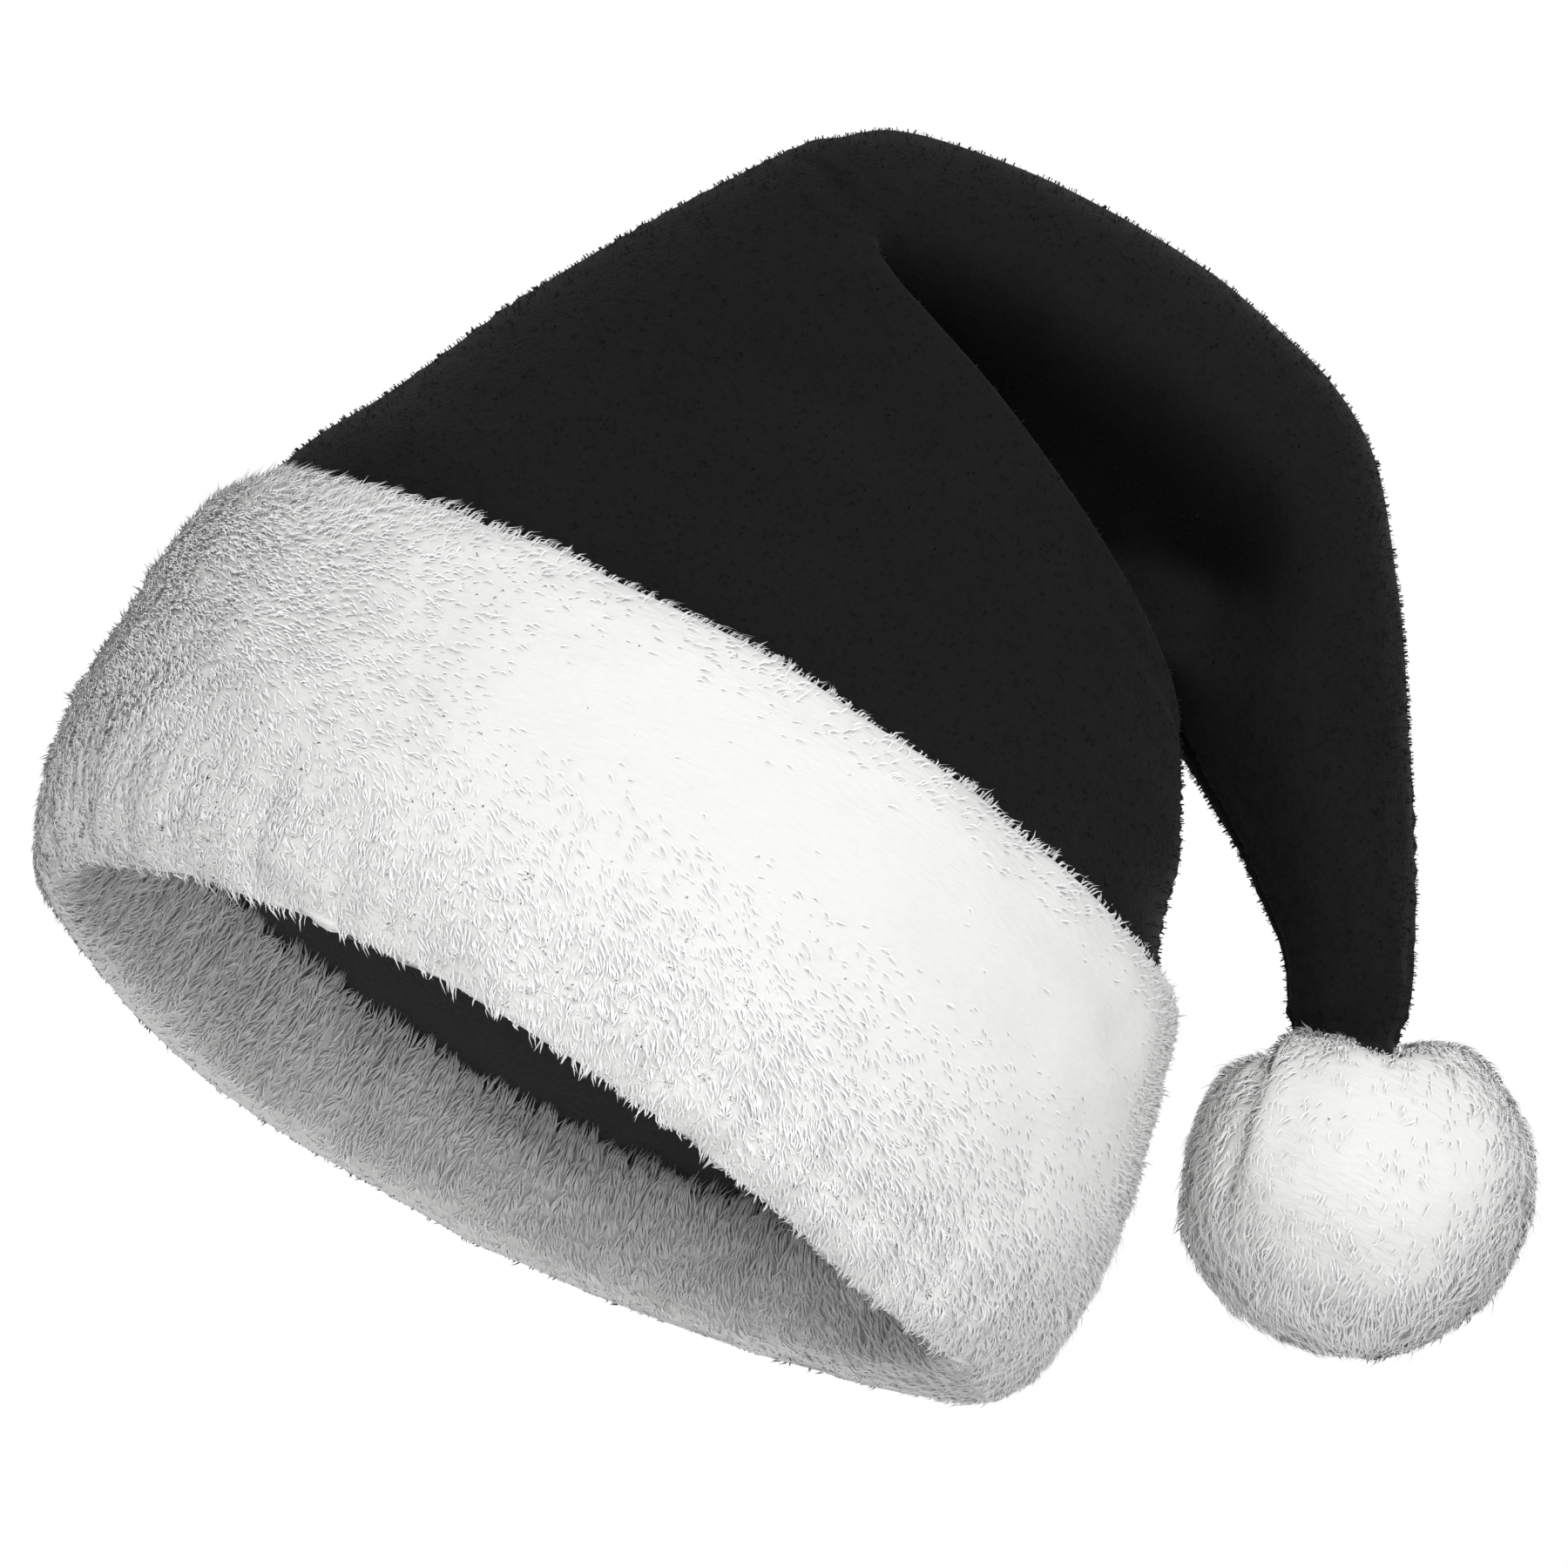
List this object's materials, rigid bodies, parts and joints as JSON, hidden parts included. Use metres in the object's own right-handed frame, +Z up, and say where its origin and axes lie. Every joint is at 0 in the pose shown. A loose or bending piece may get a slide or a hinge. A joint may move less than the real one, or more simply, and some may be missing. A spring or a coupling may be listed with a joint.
{
  "type": "plush party hat with pompom",
  "caption": "Soft plush party hat: deep turned-up long-pile cuff, cone crown folded over to one side in a pleat, tapering tail and round pompom.",
  "frame": {"origin": "centre of the head opening, in the plane of the cuff's bottom edge", "axes": "+Z up the crown out of the opening, +X towards the side that the tail falls to, -Y the front"},
  "size_m": [0.318, 0.1992, 0.238],
  "materials": {
    "white_plush": "long soft pile",
    "black_plush": "short velvety pile",
    "lining": "smooth knit",
    "stuffing": "loose fibre",
    "white_thread": "spun thread",
    "black_thread": "spun thread"
  },
  "bodies": {
    "crown": {"crown_front_panel": "black_plush", "crown_back_panel": "black_plush", "crown_spine_seam": "black_thread", "crown_under_seam": "black_thread", "lining_front_panel": "lining", "lining_back_panel": "lining", "lining_seam": "black_thread", "cuff_plush_strip": "white_plush", "cuff_end_seam": "white_thread", "cuff_top_stitching": "white_thread", "hem_joining_stitching": "white_thread"},
    "tail_upper": {"tail_upper_front_panel": "black_plush", "tail_upper_back_panel": "black_plush", "tail_upper_spine_seam": "black_thread", "tail_upper_under_seam": "black_thread"},
    "tail_lower": {"tail_lower_front_panel": "black_plush", "tail_lower_back_panel": "black_plush", "tail_lower_spine_seam": "black_thread", "tail_lower_under_seam": "black_thread"},
    "pompom_neck": {"pompom_tack_knot": "black_thread"},
    "pompom": {"pompom_cover": "white_plush", "pompom_stuffing": "stuffing", "pompom_gathering_thread": "white_thread"}
  },
  "joints": [
    {"name": "tail_fold", "type": "hinge", "parent": "crown", "child": "tail_upper", "pos_m": [0.0945, 0, 0.2185], "axis": [0, -1, 0], "range_deg": [0, 75]},
    {"name": "tail_bend", "type": "hinge", "parent": "tail_upper", "child": "tail_lower", "pos_m": [0.13, 0, 0.163], "axis": [0, -1, 0], "range_deg": [0, 60]},
    {"name": "pompom_swing", "type": "hinge", "parent": "tail_lower", "child": "pompom_neck", "pos_m": [0.14474, 0, 0.10329], "axis": [0, -1, 0], "range_deg": [0, 40]},
    {"name": "pompom_sway", "type": "hinge", "parent": "pompom_neck", "child": "pompom", "pos_m": [0.14474, 0, 0.10329], "axis": [1, 0, 0], "range_deg": [-35, 35]}
  ]
}
